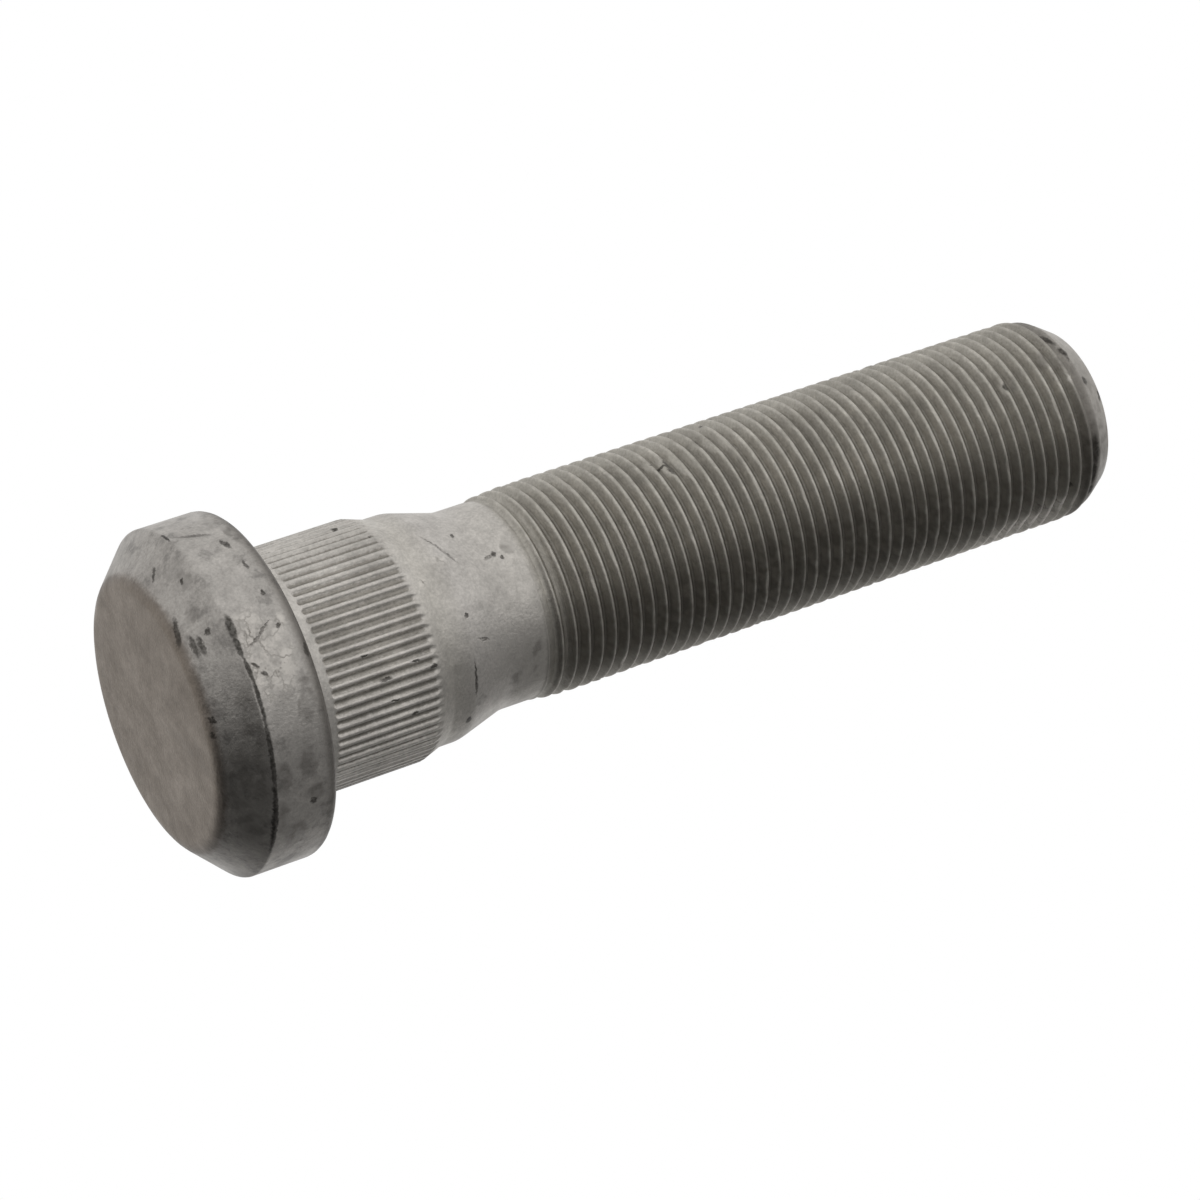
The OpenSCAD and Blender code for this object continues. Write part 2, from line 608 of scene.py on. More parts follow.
# Settings that many nodes share
MULTIPLY = {"operation": "MULTIPLY"}
MULTIPLY_ADD = {"operation": "MULTIPLY_ADD"}
MAXIMUM = {"operation": "MAXIMUM"}
SMOOTH = {"interpolation_type": "SMOOTHSTEP"}
COLOURS = {"data_type": "RGBA"}
WHITE = (1.0, 1.0, 1.0, 1.0)


def add_node(tree: bpy.types.NodeTree, kind: str, settings: dict[str, str] | None = None,
             inputs: dict[int | str, object] | tuple[object, ...] = ()) -> bpy.types.Node:
    """Adds a node, with its settings, values and links.

    Args:
        tree: The tree to add to.
        kind: Blender's name of the node's type, less ShaderNode.
        settings: Values of the node's own properties.
        inputs: What feeds the inputs, in their order or by number or name: a value, a socket,
            or a node, of which the first output is meant.

    Returns:
        The node.
    """
    node = tree.nodes.new("ShaderNode" + kind)
    for name, value in (settings or {}).items():
        setattr(node, name, value)
    given = inputs if isinstance(inputs, dict) else dict(enumerate(inputs))
    for key, value in given.items():
        if isinstance(value, bpy.types.Node):
            value = value.outputs[0]
        if isinstance(value, bpy.types.NodeSocket):
            tree.links.new(value, node.inputs[key])
        else:
            node.inputs[key].default_value = value
    return node


def fill_ramp(ramp: bpy.types.ColorRamp, stops: list[tuple[float, str]]) -> None:
    """Gives a colour ramp its stops.

    Args:
        ramp: A ramp with its two first stops.
        stops: Places from 0 to 1 with their colours, in order.
    """
    while len(ramp.elements) < len(stops):
        ramp.elements.new(1.0)
    for element, (at, colour) in zip(ramp.elements, stops):
        element.position = at
        element.color = linear(colour)


@dataclass(frozen=True)
class Look:
    """How the marks of one kind look."""

    colour: str
    # Share of the steel's own colour that the mark hides, and the share that its gaps show
    strength: float
    least: float
    # Distance in millimetres by which the outline wanders
    ragged: float
    # Width of the soft edge, of 1 for half of the mark
    soft: float
    # True for a mark that is as patchy as the blotches, not as fine as the fraying
    broad: bool = False


class MarkKind(Enum):
    """What a mark on the steel is. Some smudges are painted shade, and some rubs are painted bounce
    light.
    """

    RUB = Look("#D2CDC6", 0.6, 0.35, 0.8, 0.9, broad=True)
    # Smudges, and dark patches that are painted shade on the shaded side
    SMUDGE_AND_SHADE = Look("#55514C", 0.5, 0.1, 1.0, 0.9, broad=True)
    STAIN = Look("#33302C", 0.85, 0.75, 0.3, 0.4)
    FOLD = Look("#2A2824", 0.9, 0.8, 0.22, 0.4)
    SCRATCH = Look("#45413C", 0.6, 0.5, 0.3, 0.5)
    PIT = Look("#33302C", 0.8, 0.9, 0.25, 0.45)


# Radius at which the surface is unrolled for the marks, and those of the rim and the thread
UNROLLED_R, HEAD_R, THREAD_R = 12.0, 17.9, 10.9
# More than the square of any distance from a mark that matters, in its half sizes
FAR_OFF = 1000.0


@dataclass(frozen=True)
class Mark:
    """One mark on the stud. Its height, size and tilt are as if the surface were unrolled, and
    its radius is that of the surface under it."""

    kind: MarkKind
    height: float
    turn: float
    high: float
    wide: float
    tilt: float
    radius: float

    def forms(self) -> tuple[Triple, Triple]:
        """Gives the place in the mark's own half sizes as two rows of factors.

        The dot product of a row with the unrolled place and a third part of one is the
        distance from the mark's middle along one of its axes, over its half size there. The
        middle is moved by the mean push of the noise.

        Returns:
            A row for each of the mark's axes.
        """
        push = self.kind.value.ragged
        across, up = math.radians(self.turn) * UNROLLED_R + push, self.height + push
        cos, sin = math.cos(math.radians(self.tilt)), math.sin(math.radians(self.tilt))
        wide, high = self.wide / 2 * UNROLLED_R / self.radius, self.high / 2
        return ((cos / wide, sin / wide, -(across * cos + up * sin) / wide),
                (-sin / high, cos / high, (across * sin - up * cos) / high))


RUB, SMUDGE_AND_SHADE, STAIN, FOLD, SCRATCH, PIT = MarkKind
# Kind, height, turn, high, wide, tilt and radius of each mark
MARKS = [Mark(*row) for row in (
    # Chamfer of the head
    (STAIN, 0.62, -127.2, 0.4, 2.6, -15, 14.2), (STAIN, 1.25, -118.5, 0.45, 2.1, 0, 15.0),
    (STAIN, 1.75, -117, 0.45, 1.8, 0, 15.4), (STAIN, 2.62, -120, 0.45, 0.6, 0, 16.3),
    (SMUDGE_AND_SHADE, 2.3, -128, 0.8, 1.4, 0, 16.0), (STAIN, 1.7, -155, 0.28, 1.5, -39, 15.4),
    (STAIN, 2.88, -141.6, 0.3, 0.5, 0, 16.6), (SMUDGE_AND_SHADE, 3.1, -142, 0.6, 1.8, 0, 16.8),
    (STAIN, 0.6, -90, 0.35, 0.8, 30, 14.2), (STAIN, 0.35, -84.3, 0.3, 0.6, 0, 14.0),
    (SMUDGE_AND_SHADE, 0.8, -95.3, 0.5, 1.2, 0, 14.4), (SMUDGE_AND_SHADE, 2.2, -68, 3.0, 4.6, 0, 15.9),
    (SMUDGE_AND_SHADE, 3.0, -66, 1.4, 4.0, 0, 16.7), (SMUDGE_AND_SHADE, 1.44, -57.6, 1.2, 2.6, 0, 15.1),
    (SMUDGE_AND_SHADE, 2.5, -45, 1.5, 3.2, 0, 16.2), (SMUDGE_AND_SHADE, 3.3, -84, 1.2, 6.0, 0, 17.0),
    # Front edge of the rim
    (FOLD, 4.2, -161.5, 0.3, 1.8, 0, HEAD_R), (FOLD, 4.35, -117, 0.75, 2.4, -4, HEAD_R),
    (FOLD, 4.25, -110.5, 0.5, 2.4, 0, HEAD_R), (FOLD, 4.35, -103, 0.42, 2.8, 6, HEAD_R),
    (FOLD, 4.42, -93, 0.42, 4.8, 0, HEAD_R), (FOLD, 4.3, -76, 0.45, 8.4, -2, HEAD_R),
    (FOLD, 4.15, -52, 0.5, 9.4, -1, HEAD_R),
    # Rim
    (RUB, 6.2, -110, 2.8, 5.0, 20, HEAD_R), (RUB, 7.4, -103, 2.6, 4.6, -15, HEAD_R),
    (RUB, 5.4, -99, 1.4, 3.6, 0, HEAD_R), (RUB, 8.8, -113, 1.3, 1.5, 0, HEAD_R),
    (SCRATCH, 6.4, -157, 0.35, 4.4, 71, HEAD_R), (SMUDGE_AND_SHADE, 9.0, -161, 1.0, 1.8, 10, HEAD_R),
    (STAIN, 8.45, -147.5, 0.45, 1.6, 24, HEAD_R), (SMUDGE_AND_SHADE, 9.7, -151, 0.7, 2.6, 10, HEAD_R),
    (STAIN, 8.82, -136.6, 0.35, 1.2, 5, HEAD_R), (STAIN, 8.85, -124.6, 0.4, 0.5, 0, HEAD_R),
    (PIT, 8.78, -113, 0.4, 0.4, 0, HEAD_R), (STAIN, 5.15, -103.4, 0.35, 1.0, 50, HEAD_R),
    (STAIN, 5.7, -100.2, 0.35, 1.0, 50, HEAD_R), (SCRATCH, 6.8, -112.4, 0.17, 3.8, 115, HEAD_R),
    (STAIN, 10.55, -103.3, 0.5, 1.4, -15, HEAD_R), (SMUDGE_AND_SHADE, 9.3, -91, 1.0, 1.8, 0, HEAD_R),
    (SMUDGE_AND_SHADE, 8.7, -85, 1.0, 1.8, 0, HEAD_R), (SMUDGE_AND_SHADE, 7.8, -68.6, 1.5, 2.4, 20, HEAD_R),
    (SMUDGE_AND_SHADE, 8.5, -57, 1.4, 1.4, 0, HEAD_R), (STAIN, 8.2, -54.5, 0.7, 0.7, 0, HEAD_R),
    (SMUDGE_AND_SHADE, 6.4, -41, 1.6, 2.6, 0, HEAD_R), (SMUDGE_AND_SHADE, 5.2, -66, 1.4, 2.6, 0, HEAD_R),
    (SMUDGE_AND_SHADE, 4.9, -50, 1.0, 3.0, 0, HEAD_R),
    # Knurl and taper
    (STAIN, 22.45, -166.6, 0.9, 0.5, -50, 12.7), (STAIN, 24.5, -151, 0.35, 0.35, 0, 12.7),
    (PIT, 24.8, -79.8, 0.8, 0.4, 0, 12.7), (PIT, 23.0, -84.9, 0.7, 0.28, 0, 12.7),
    (PIT, 20.1, -70.4, 0.8, 0.28, 0, 12.7), (PIT, 22.1, -60.6, 0.7, 0.3, 0, 12.7),
    (PIT, 17.9, -94.2, 0.6, 0.25, 0, 12.7), (PIT, 19.6, -81.2, 1.1, 0.25, 0, 12.7),
    (RUB, 26.7, -117.2, 0.6, 0.7, 0, 12.2),
    # Collar and neck
    (SCRATCH, 30.6, -131, 0.28, 2.8, 25, 11.8), (SCRATCH, 29.7, -139, 0.16, 1.6, 28, 12.0),
    (PIT, 32.7, -141.8, 0.35, 0.6, -20, 11.1), (PIT, 35.7, -123.9, 0.4, 0.5, 0, 10.5),
    (SCRATCH, 35.1, -123.2, 0.35, 1.0, 104, 10.5), (PIT, 36.4, -120.7, 0.35, 0.4, 0, 10.5),
    (SMUDGE_AND_SHADE, 37.4, -126, 0.8, 1.5, 0, 10.5), (PIT, 29.85, -96.6, 0.4, 0.45, 0, 12.0),
    (SMUDGE_AND_SHADE, 31.8, -98.7, 0.6, 0.6, 0, 11.4), (SCRATCH, 31.1, -82.6, 0.32, 1.2, 64, 11.6),
    (STAIN, 29.5, -65, 0.28, 3.6, -1, 12.0), (SMUDGE_AND_SHADE, 27.6, -72.9, 0.6, 0.7, 0, 12.0),
    (SMUDGE_AND_SHADE, 35.0, -50, 1.5, 1.6, 0, 10.6), (SMUDGE_AND_SHADE, 30.2, -49.5, 1.0, 1.0, 0, 11.9),
    (STAIN, 28.9, -39.9, 0.6, 0.9, 0, 12.0), (RUB, 29.4, -125.6, 1.2, 0.8, 0, 12.0),
    (SMUDGE_AND_SHADE, 37.2, -60, 1.0, 5.0, 0, 10.5),
    # Thread
    (STAIN, 57.8, -141, 0.5, 2.4, 0, THREAD_R), (STAIN, 57.0, -145, 0.35, 1.6, 55, THREAD_R),
    (STAIN, 65.3, -171, 0.9, 0.7, 0, THREAD_R), (STAIN, 96.9, -121.5, 0.7, 0.8, 0, THREAD_R),
    (SMUDGE_AND_SHADE, 102.6, -130.2, 1.2, 1.6, 0, THREAD_R), (STAIN, 102.2, -49.2, 0.7, 0.8, 0, THREAD_R),
    # The two light patches near the tip are painted bounce light on the shaded side, where dings
    # knock the crests down
    (RUB, 98.8, -32, 5.0, 4.4, 0, THREAD_R), (RUB, 95.5, -24, 6.0, 3.0, 0, THREAD_R),
    # A broad dark patch down the thread's shaded side: painted shade
    (SMUDGE_AND_SHADE, 70.0, -57, 50.0, 9.0, 0, THREAD_R),
    # End chamfer
    (STAIN, 104.95, -145.2, 0.6, 2.2, 17, 10.6), (STAIN, 105.55, -132.3, 0.7, 1.1, 20, 10.4),
    (SCRATCH, 105.6, -128.5, 0.3, 1.2, -10, 10.4), (SMUDGE_AND_SHADE, 103.95, -125.2, 0.9, 1.0, 0, 10.8),
    (RUB, 104.4, -116, 0.5, 1.3, -8, 10.8), (STAIN, 106.2, -111, 0.6, 0.8, 0, 10.1),
    (STAIN, 107.7, -99.6, 0.35, 1.1, -10, 9.1), (SMUDGE_AND_SHADE, 105.9, -95.5, 1.0, 2.4, 0, 10.3),
    (STAIN, 105.2, -69, 0.9, 3.2, 0, 10.3), (STAIN, 105.1, -55, 0.8, 2.8, 4, 10.3),
    (SMUDGE_AND_SHADE, 104.3, -64, 1.6, 9.0, 0, 10.8), (STAIN, 105.2, -40.7, 0.8, 1.2, 0, 10.4),
    # Broad dark patches on the end chamfer's shaded side: painted shade, partly smudges
    (SMUDGE_AND_SHADE, 105.7, -80, 1.2, 9.0, 0, 10.3), (SMUDGE_AND_SHADE, 106.9, -66, 2.4, 14.0, 0, 9.7),
    (SMUDGE_AND_SHADE, 106.7, -38, 2.6, 7.0, 0, 9.7),
    # Side turned away in the photograph
    (STAIN, 7.2, 24, 0.8, 1.6, 20, HEAD_R), (SMUDGE_AND_SHADE, 6.0, 78, 2.4, 4.0, 0, HEAD_R),
    (STAIN, 9.0, 131, 0.45, 1.4, 0, HEAD_R), (PIT, 33.6, 62, 0.45, 0.45, 0, 11.0),
    (SCRATCH, 31.6, 118, 0.25, 2.4, 30, 11.4), (SMUDGE_AND_SHADE, 36.2, 20, 1.2, 2.0, 0, 10.5),
    (STAIN, 105.0, 84, 0.8, 1.8, 0, 10.6), (STAIN, 75.0, 48, 0.8, 1.2, 0, THREAD_R),
)]


class Noise(Enum):
    """Noises of the finish: size in millimetres, detail, and roughness of the detail. Their
    middle value is 0.5, and they seldom leave NOISE_SPREAD."""

    CLOUDS = (5.0, 4.0, 0.6)
    SCALE = (2.2, 4.0, 0.7)
    STREAKS = (1.8, 3.0, 0.6)
    BLOTCHES = (1.2, 3.0, 0.6)
    FRAYING = (0.45, 3.0, 0.65)
    GRAIN = (0.3, 2.0, 0.7)


NOISE_MIDDLE = 0.5
NOISE_SPREAD = (0.3, 0.7)
# A range of some value, and what it is turned into at its two ends
Span = tuple[float, float, float, float]


@dataclass(frozen=True)
class Zone:
    """Colour of the steel from one height to the next zone's."""

    height: float
    colour: str


@dataclass(frozen=True)
class ForgedSteel:
    """Bare forged and rolled steel with a dull grey skin. It scatters light broadly, so the
    lit side is pale and the far side dark with no sharp highlight. Its hollows are painted
    darker as painted shade, and the thread's crests lighter as painted highlight and wear."""

    length: float = 108.0
    # Roughness where the clouds are at their lowest, and at their highest
    roughness: Pair = (0.57, 0.45)
    # Painted shade in the knurl's grooves
    groove: str = "#928E87"
    flank: str = "#A39F97"
    # Painted shade in the thread's roots
    root: str = "#78746D"
    # Lighter crests, as painted highlight and wear
    crest: str = "#B2AEA6"
    vein: str = "#57534D"
    # How far the zones' edges wander in millimetres, and the grooves' in shares of their depth
    zone_wander: float = 0.5
    groove_fray: float = 0.7
    groove_shade_edge: Span = (0.9, 1.3, 0.0, 1.0)
    # Shares of the thread's depth: where the painted shade of the roots starts, and the crests'
    # edge
    root_shade_edge: float = 0.8
    crest_edge: Span = (0.03, 0.24, 1.0, 0.0)
    # Where the streaks leave the crests bright, as painted highlight and wear, and how near their
    # middle value the veins run
    crest_highlight_and_wear: Span = (0.42, 0.58, 0.1, 1.0)
    vein_edge: Span = (0.0, 0.05, 0.65, 0.0)
    # Values of the noise between which a gap in a mark fills up
    gap_edge: Pair = (0.4, 0.58)
    # How dark and how light each noise makes the skin
    shades: tuple[tuple[Noise, float, float], ...] = (
        (Noise.CLOUDS, 0.91, 1.07),
        (Noise.GRAIN, 0.9, 1.1),
        (Noise.BLOTCHES, 0.89, 1.08),
    )
    # The scale's dark blotches, and the heights between which the head has them
    scale_dark: Span = (0.5, 0.68, 1.0, 0.7)
    scale_start: Span = (0.3, 1.2, 0.0, 1.0)
    scale_end: Span = (10.6, 11.4, 1.0, 0.0)
    # Heights in millimetres of the bumps of blotches and grain, and depth of pits and scratches
    blotch_bump: float = 0.05
    grain_bump: float = 0.025
    pit_depth: float = 0.08
    # From the flat face, over the head, knurl, collar and neck, to the end chamfer
    zones: tuple[Zone, ...] = (
        Zone(0.0, "#7E756B"),
        Zone(0.25, "#7F776D"),
        Zone(0.5, "#77706A"),
        Zone(0.9, "#A39F9A"),
        Zone(3.9, "#A19D98"),
        Zone(4.4, "#AEAAA5"),
        Zone(9.6, "#ACA8A3"),
        # The rim's rounded back edge and the seat are painted darker here: painted shade
        Zone(10.1, "#928E89"),
        Zone(10.5, "#716D68"),
        Zone(11.0, "#74706B"),
        Zone(11.5, "#ACA8A2"),
        Zone(13.0, "#C2BEB8"),
        Zone(24.6, "#BEBAB4"),
        Zone(26.9, "#BAB6AF"),
        Zone(28.6, "#B5B1AB"),
        Zone(30.0, "#BBB7B2"),
        Zone(37.5, "#B9B5AF"),
        Zone(103.2, "#7E7A74"),
        Zone(105.3, "#7E7A74"),
        Zone(105.8, "#A7A39D"),
        Zone(107.8, "#A5A19B"),
    )

    def marks(self, tree: bpy.types.NodeTree, spot: bpy.types.NodeSocket,
              broad: bpy.types.Node, fine: bpy.types.Node) -> dict[MarkKind, bpy.types.Node]:
        """Makes a mask for each kind of mark.

        The surface is unrolled to turn times a middle radius across and height up, and is
        pushed about by noise for ragged outlines. The squares of the place's two parts in a
        mark's own half sizes add up to 1 on its outline. The mask falls from 1 to 0 across the
        outline, by the least such sum over all marks. The same noise opens gaps in the marks.

        Args:
            tree: The material's nodes.
            spot: The unrolled place in millimetres, with a third part of one.
            broad: Noise for the broad marks.
            fine: Finer noise for the rest.

        Returns:
            A mask for each kind.
        """
        masks: dict[MarkKind, bpy.types.Node] = {}
        for kind in MarkKind:
            look = kind.value
            noise = broad if look.broad else fine
            push = add_node(tree, "VectorMath", MULTIPLY_ADD,
                            (noise.outputs[1], (2 * look.ragged, 2 * look.ragged, 0.0), spot))
            least: bpy.types.Node | float = FAR_OFF
            for mark in (m for m in MARKS if m.kind is kind):
                along, up = (add_node(tree, "VectorMath", {"operation": "DOT_PRODUCT"},
                                      (push, row)).outputs["Value"] for row in mark.forms())
                square = add_node(tree, "Math", MULTIPLY, (along, along))
                reach = add_node(tree, "Math", MULTIPLY_ADD, (up, up, square))
                least = add_node(tree, "Math", {"operation": "MINIMUM"}, (least, reach))
            mask = add_node(tree, "MapRange", SMOOTH,
                            (least, (1 + look.soft) ** 2, (1 - look.soft) ** 2, 0.0, 1.0))
            gaps = add_node(tree, "MapRange", inputs=(noise, *self.gap_edge, look.least, 1.0))
            masks[kind] = add_node(tree, "Math", MULTIPLY, (mask, gaps))
        return masks

    def material(self) -> bpy.types.Material:
        """Makes the material.

        The inputs of a MapRange are the value, the two ends of its range, and what it turns
        into at each. A Mix of colours gives its input 6 where its factor is 0 and its input 7
        where it is 1, and its colour is output 2.

        Returns:
            The finish, which reads Object coordinates and the attributes in LAYERS.
        """
        mat = bpy.data.materials.new("forged_steel")
        mat.use_nodes = True
        tree = mat.node_tree
        shader = tree.nodes["Principled BSDF"]
        shader.inputs["Metallic"].default_value = 1.0

        place = add_node(tree, "TexCoord")
        in_mm = add_node(tree, "VectorMath", {"operation": "SCALE"},
                         {0: place.outputs["Object"], "Scale": 1 / MM})
        axes = add_node(tree, "SeparateXYZ", inputs=(in_mm,))
        height = axes.outputs["Z"]
        turn = add_node(tree, "Math", {"operation": "ARCTAN2"},
                        (axes.outputs["Y"], axes.outputs["X"]))
        across = add_node(tree, "Math", MULTIPLY, (turn, UNROLLED_R))
        spot = add_node(tree, "CombineXYZ", inputs=(across, height, 1.0))
        noises = {}
        for noise in Noise:
            size, detail, rough = noise.value
            noises[noise] = add_node(tree, "TexNoise", inputs={
                "Vector": in_mm, "Scale": 1 / size, "Detail": detail, "Roughness": rough})
        clouds, blotches, grain = (noises[n] for n in (Noise.CLOUDS, Noise.BLOTCHES, Noise.GRAIN))
        fray, streaks = noises[Noise.FRAYING], noises[Noise.STREAKS]
        groove, valley, threaded = (
            add_node(tree, "Attribute", {"attribute_name": layer}).outputs["Fac"]
            for layer in LAYERS)

        # Zones by height, with edges that wander by the blotches
        wander = add_node(tree, "Math", MULTIPLY_ADD, (blotches, self.zone_wander, height))
        along = add_node(tree, "Math", MULTIPLY_ADD, (
            wander, 1 / self.length, -self.zone_wander * NOISE_MIDDLE / self.length))
        zone = add_node(tree, "ValToRGB", inputs=(along,))
        fill_ramp(zone.color_ramp, [(z.height / self.length, z.colour) for z in self.zones])

        # The grooves are painted darker as painted shade, with edges that wander by the fraying
        frayed = add_node(tree, "Math", MULTIPLY_ADD, (fray, self.groove_fray, groove))
        groove_shade = add_node(tree, "MapRange", SMOOTH, (frayed, *self.groove_shade_edge))
        knurled = add_node(tree, "Mix", COLOURS, {0: groove_shade, 6: zone, 7: linear(self.groove)})

        # The thread's roots are painted darker as painted shade, and its crests lighter as painted
        # highlight and wear where the streaks are high
        thread = add_node(tree, "ValToRGB", inputs=(valley,))
        fill_ramp(thread.color_ramp,
                  [(0.0, self.flank), (self.root_shade_edge, self.flank), (1.0, self.root)])
        on_crest = add_node(tree, "MapRange", SMOOTH, (valley, *self.crest_edge))
        highlit_and_worn = add_node(tree, "MapRange", inputs=(streaks, *self.crest_highlight_and_wear))
        bright = add_node(tree, "Math", MULTIPLY, (on_crest, highlit_and_worn))
        turned = add_node(tree, "Mix", COLOURS, {0: bright, 6: thread, 7: linear(self.crest)})
        plain = add_node(tree, "Mix", COLOURS,
                         {0: threaded, 6: knurled.outputs[2], 7: turned.outputs[2]})

        # Noises lighten and darken the skin, and dark scale lies on the sides of the head
        parts = [add_node(tree, "MapRange", inputs=(noises[noise], *NOISE_SPREAD, dark, light))
                 for noise, dark, light in self.shades]
        scaled = add_node(tree, "MapRange", SMOOTH, (noises[Noise.SCALE], *self.scale_dark))
        past_face = add_node(tree, "MapRange", SMOOTH, (height, *self.scale_start))
        before_shank = add_node(tree, "MapRange", SMOOTH, (height, *self.scale_end))
        forged = add_node(tree, "Math", MULTIPLY, (past_face, before_shank))
        parts.append(add_node(tree, "Mix", inputs={0: forged, 2: 1.0, 3: scaled}))
        level = parts[0]
        for part in parts[1:]:
            level = add_node(tree, "Math", MULTIPLY, (level, part))
        skin = add_node(tree, "VectorMath", {"operation": "SCALE"},
                        {0: plain.outputs[2], "Scale": level})

        colour = skin.outputs[0]
        masks = self.marks(tree, spot.outputs[0], blotches, fray)
        for kind, mask in masks.items():
            share = add_node(tree, "Math", MULTIPLY, (mask, kind.value.strength))
            colour = add_node(tree, "Mix", COLOURS,
                              {0: share, 6: colour, 7: linear(kind.value.colour)}).outputs[2]
        # Dark veins run through the worn places and the patches of painted bounce light, where the
        # streaks pass their middle value
        off = add_node(tree, "Math", {"operation": "SUBTRACT"}, (streaks, NOISE_MIDDLE))
        ridge = add_node(tree, "Math", {"operation": "ABSOLUTE"}, (off,))
        thin = add_node(tree, "MapRange", inputs=(ridge, *self.vein_edge))
        veined = add_node(tree, "Math", MULTIPLY, (thin, masks[RUB]))
        scuffed = add_node(tree, "Mix", COLOURS, {0: veined, 6: colour, 7: linear(self.vein)})
        tree.links.new(scuffed.outputs[2], shader.inputs["Base Color"])

        rough = add_node(tree, "MapRange", inputs=(clouds, *NOISE_SPREAD, *self.roughness))
        tree.links.new(rough.outputs[0], shader.inputs["Roughness"])

        low = add_node(tree, "Math", MULTIPLY, (blotches, self.blotch_bump))
        fine = add_node(tree, "Math", MULTIPLY_ADD, (grain, self.grain_bump, low))
        dents = add_node(tree, "Math", MAXIMUM, (masks[PIT], masks[SCRATCH]))
        relief = add_node(tree, "Math", MULTIPLY_ADD, (dents, -self.pit_depth, fine))
        bump = add_node(tree, "Bump", inputs={"Height": relief, "Distance": MM, "Strength": 1.0})
        tree.links.new(bump.outputs[0], shader.inputs["Normal"])
        return mat


@dataclass(frozen=True)
class Card:
    """A dark card, with its centre and its two half sides as vectors in metres, and its
    brightness, of 1 for white."""

    name: str
    centre: Triple
    across: Triple
    up: Triple
    grey: float


def flat_sheet(name: str, centre: Triple, across: Triple,
               up: Triple) -> tuple[bpy.types.Object, bpy.types.NodeTree]:
    """Makes a four-cornered sheet with an empty material.

    Args:
        name: Name of the sheet and of its material.
        centre: Its centre in metres.
        across: Half of its width as a vector.
        up: Half of its height as a vector. The sheet faces along across times up.

    Returns:
        The sheet, and the nodes of its material.
    """
    middle, side, rise = (np.array(v) for v in (centre, across, up))
    corners = [middle - side - rise, middle + side - rise, middle + side + rise,
               middle - side + rise]
    mesh = bpy.data.meshes.new(name)
    mesh.from_pydata([corner.tolist() for corner in corners], [], [(0, 1, 2, 3)])
    mat = bpy.data.materials.new(name)
    mat.use_nodes = True
    mat.node_tree.nodes.clear()
    mesh.materials.append(mat)
    sheet = bpy.data.objects.new(name, mesh)
    bpy.context.scene.collection.objects.link(sheet)
    return sheet, mat.node_tree


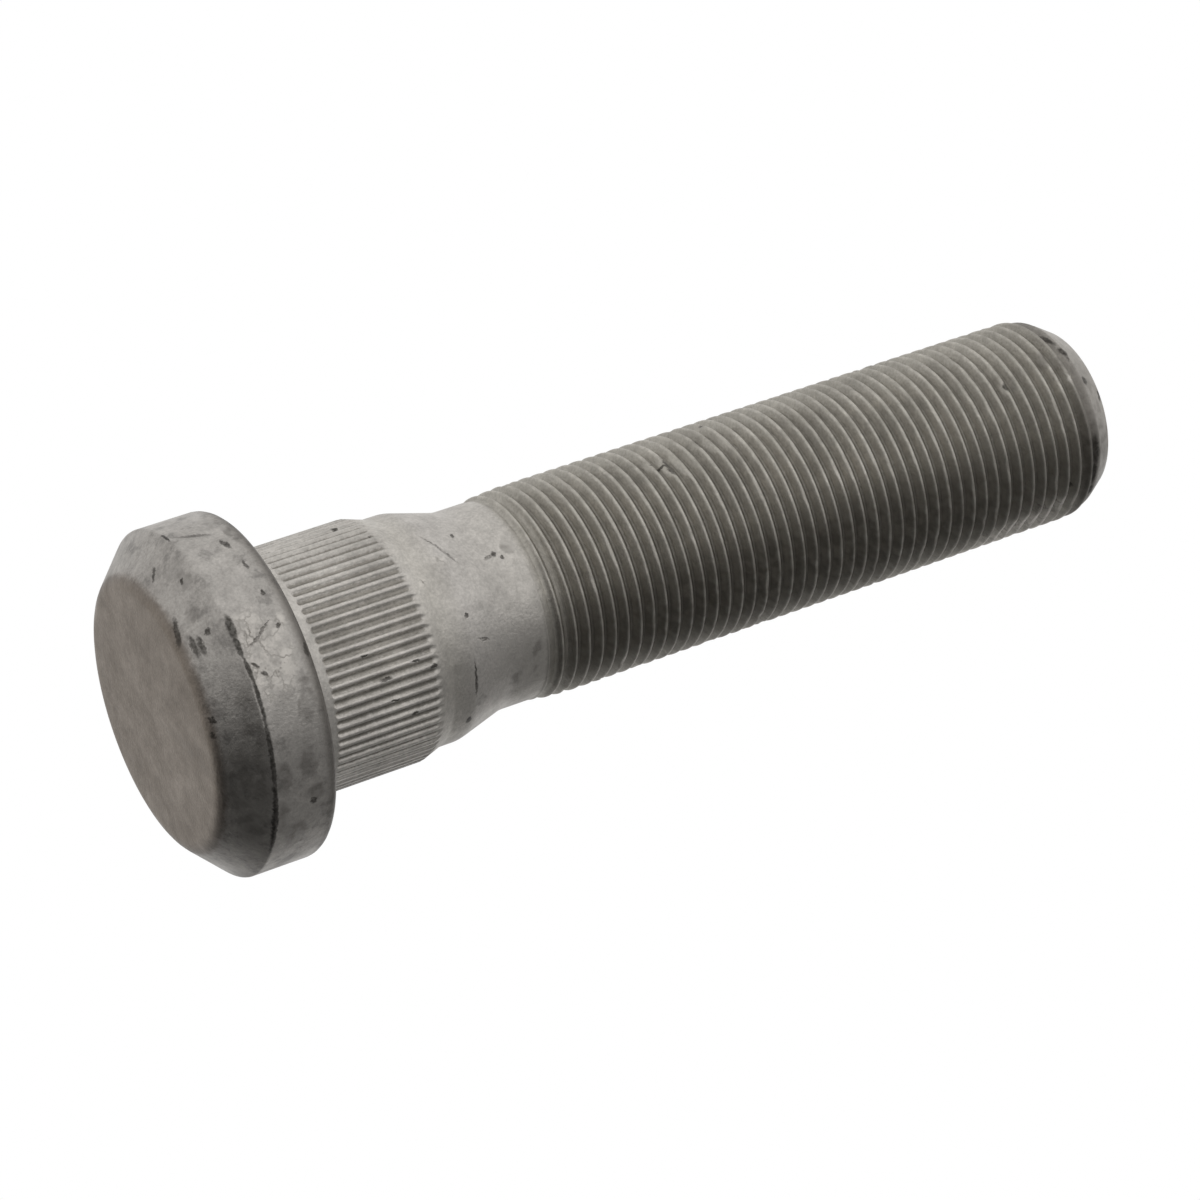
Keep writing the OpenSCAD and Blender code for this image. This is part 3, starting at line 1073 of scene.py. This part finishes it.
@dataclass(frozen=True)
class Studio:
    """White surroundings, dark cards and a pale floor."""

    world_level: float = 1.0
    # The floor, in metres, and how it fades to white with the distance from the stud
    floor_half: float = 3.0
    floor_drop: float = 0.0002
    floor_colour: str = "#F4F4F3"
    floor_fade: Span = (0.1, 0.7, 0.0, 1.0)
    # The dark side of the room: a wall, and a darker slope from its foot to below the stud
    cards: tuple[Card, ...] = (
        Card("card_wall", (0.258, -0.14, 0.525), (0.145, 0.392, 0.0), (0.0, 0.0, 0.575), 0.27),
        Card("card_slope", (0.162, 0.02, -0.475), (0.217, 0.586, 0.0), (0.136, -0.05, 0.425), 0.07),
    )

    def world(self) -> None:
        """Makes the world white to the camera and in reflections, and plain to the rest."""
        world = bpy.data.worlds.new("studio")
        bpy.context.scene.world = world
        world.use_nodes = True
        tree = world.node_tree
        tree.nodes.clear()
        path = add_node(tree, "LightPath")
        glossy = add_node(tree, "Math", MAXIMUM,
                          (path.outputs["Is Camera Ray"], path.outputs["Is Glossy Ray"]))
        seen = add_node(tree, "Math", MAXIMUM, (glossy, path.outputs["Is Transmission Ray"]))
        plain = add_node(tree, "Background", inputs={"Color": WHITE, "Strength": self.world_level})
        white = add_node(tree, "Background", inputs={"Color": WHITE, "Strength": 1.0})
        mix = add_node(tree, "MixShader", inputs=(seen, plain, white))
        add_node(tree, "OutputWorld", inputs={"Surface": mix})

    def card(self, card: Card) -> None:
        """Hangs a card that only reflections show.

        Args:
            card: The card to hang.
        """
        hung, tree = flat_sheet(card.name, card.centre, card.across, card.up)
        path = add_node(tree, "LightPath")
        clear = add_node(tree, "BsdfTransparent")
        dark = add_node(tree, "Emission", inputs={"Color": WHITE, "Strength": card.grey})
        mix = add_node(tree, "MixShader", inputs=(path.outputs["Is Glossy Ray"], clear, dark))
        add_node(tree, "OutputMaterial", inputs={"Surface": mix})

    def floor(self) -> None:
        """Lays a pale floor that shows only from above, since the photograph looks from below."""
        floor, tree = flat_sheet("floor", (0.0, 0.0, -self.floor_drop),
                                 (self.floor_half, 0.0, 0.0), (0.0, self.floor_half, 0.0))
        path = add_node(tree, "LightPath")
        side = add_node(tree, "NewGeometry")
        front = add_node(tree, "Math", {"operation": "SUBTRACT"},
                         (path.outputs["Is Camera Ray"], side.outputs["Backfacing"]))
        clear = add_node(tree, "BsdfTransparent")
        pale = add_node(tree, "BsdfDiffuse", inputs={"Color": linear(self.floor_colour)})
        white = add_node(tree, "Emission", inputs={"Color": WHITE, "Strength": 1.0})
        place = add_node(tree, "TexCoord")
        away = add_node(tree, "VectorMath", {"operation": "LENGTH"}, (place.outputs["Object"],))
        far = add_node(tree, "MapRange", SMOOTH, (away.outputs["Value"], *self.floor_fade))
        seen = add_node(tree, "MixShader", inputs=(far, pale, white))
        mix = add_node(tree, "MixShader", inputs=(front, clear, seen))
        add_node(tree, "OutputMaterial", inputs={"Surface": mix})

    def build(self) -> None:
        """Sets up the whole studio."""
        self.world()
        self.floor()
        for card in self.cards:
            self.card(card)


@dataclass(frozen=True)
class PhotoCamera:
    """Camera where the photograph was taken from, a long lens close below the standing head.
    Its places and lens are in millimetres."""

    place: Triple = (-62.798, -414.032, -143.361)
    aim: Triple = (3.235, -0.517, 49.414)
    picture_up: Triple = (-0.95592, 0.01597, 0.29319)
    sensor: float = 36.0
    lens: float = 135.539
    # Nearest and farthest that it sees, in metres
    clip: Pair = (0.01, 20.0)

    def build(self) -> None:
        """Makes the camera and gives it to the scene."""
        data = bpy.data.cameras.new("camera")
        data.sensor_width = self.sensor
        data.lens = self.lens
        data.clip_start, data.clip_end = self.clip
        camera = bpy.data.objects.new("camera", data)
        back = (Vector(self.place) - Vector(self.aim)).normalized()
        right = Vector(self.picture_up).cross(back).normalized()
        up = back.cross(right)
        turn = Matrix((right, up, back)).transposed().to_4x4()
        camera.matrix_world = Matrix.Translation(Vector(self.place) * MM) @ turn
        bpy.context.scene.collection.objects.link(camera)
        bpy.context.scene.camera = camera


def main() -> None:
    """Builds the camera, the studio and the dressed stud."""
    logging.basicConfig(level=logging.INFO, format="%(name)s: %(message)s")
    bpy.context.scene.view_settings.view_transform = "Standard"
    PhotoCamera().build()
    Studio().build()
    low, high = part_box(NODE)
    stud = WheelStud(head_r=(high[0] - low[0]) / 2 / MM, length=(high[2] - low[2]) / MM)
    piece = stud.build()
    piece.data.materials.append(ForgedSteel().material())
    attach(piece, BODY)
    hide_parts(NODE)
    mesh = piece.data
    triangles = sum(len(p.vertices) - 2 for p in mesh.polygons)
    log.info("stud: %d points, %d triangles", len(mesh.vertices), triangles)


if __name__ == "__main__":
    main()
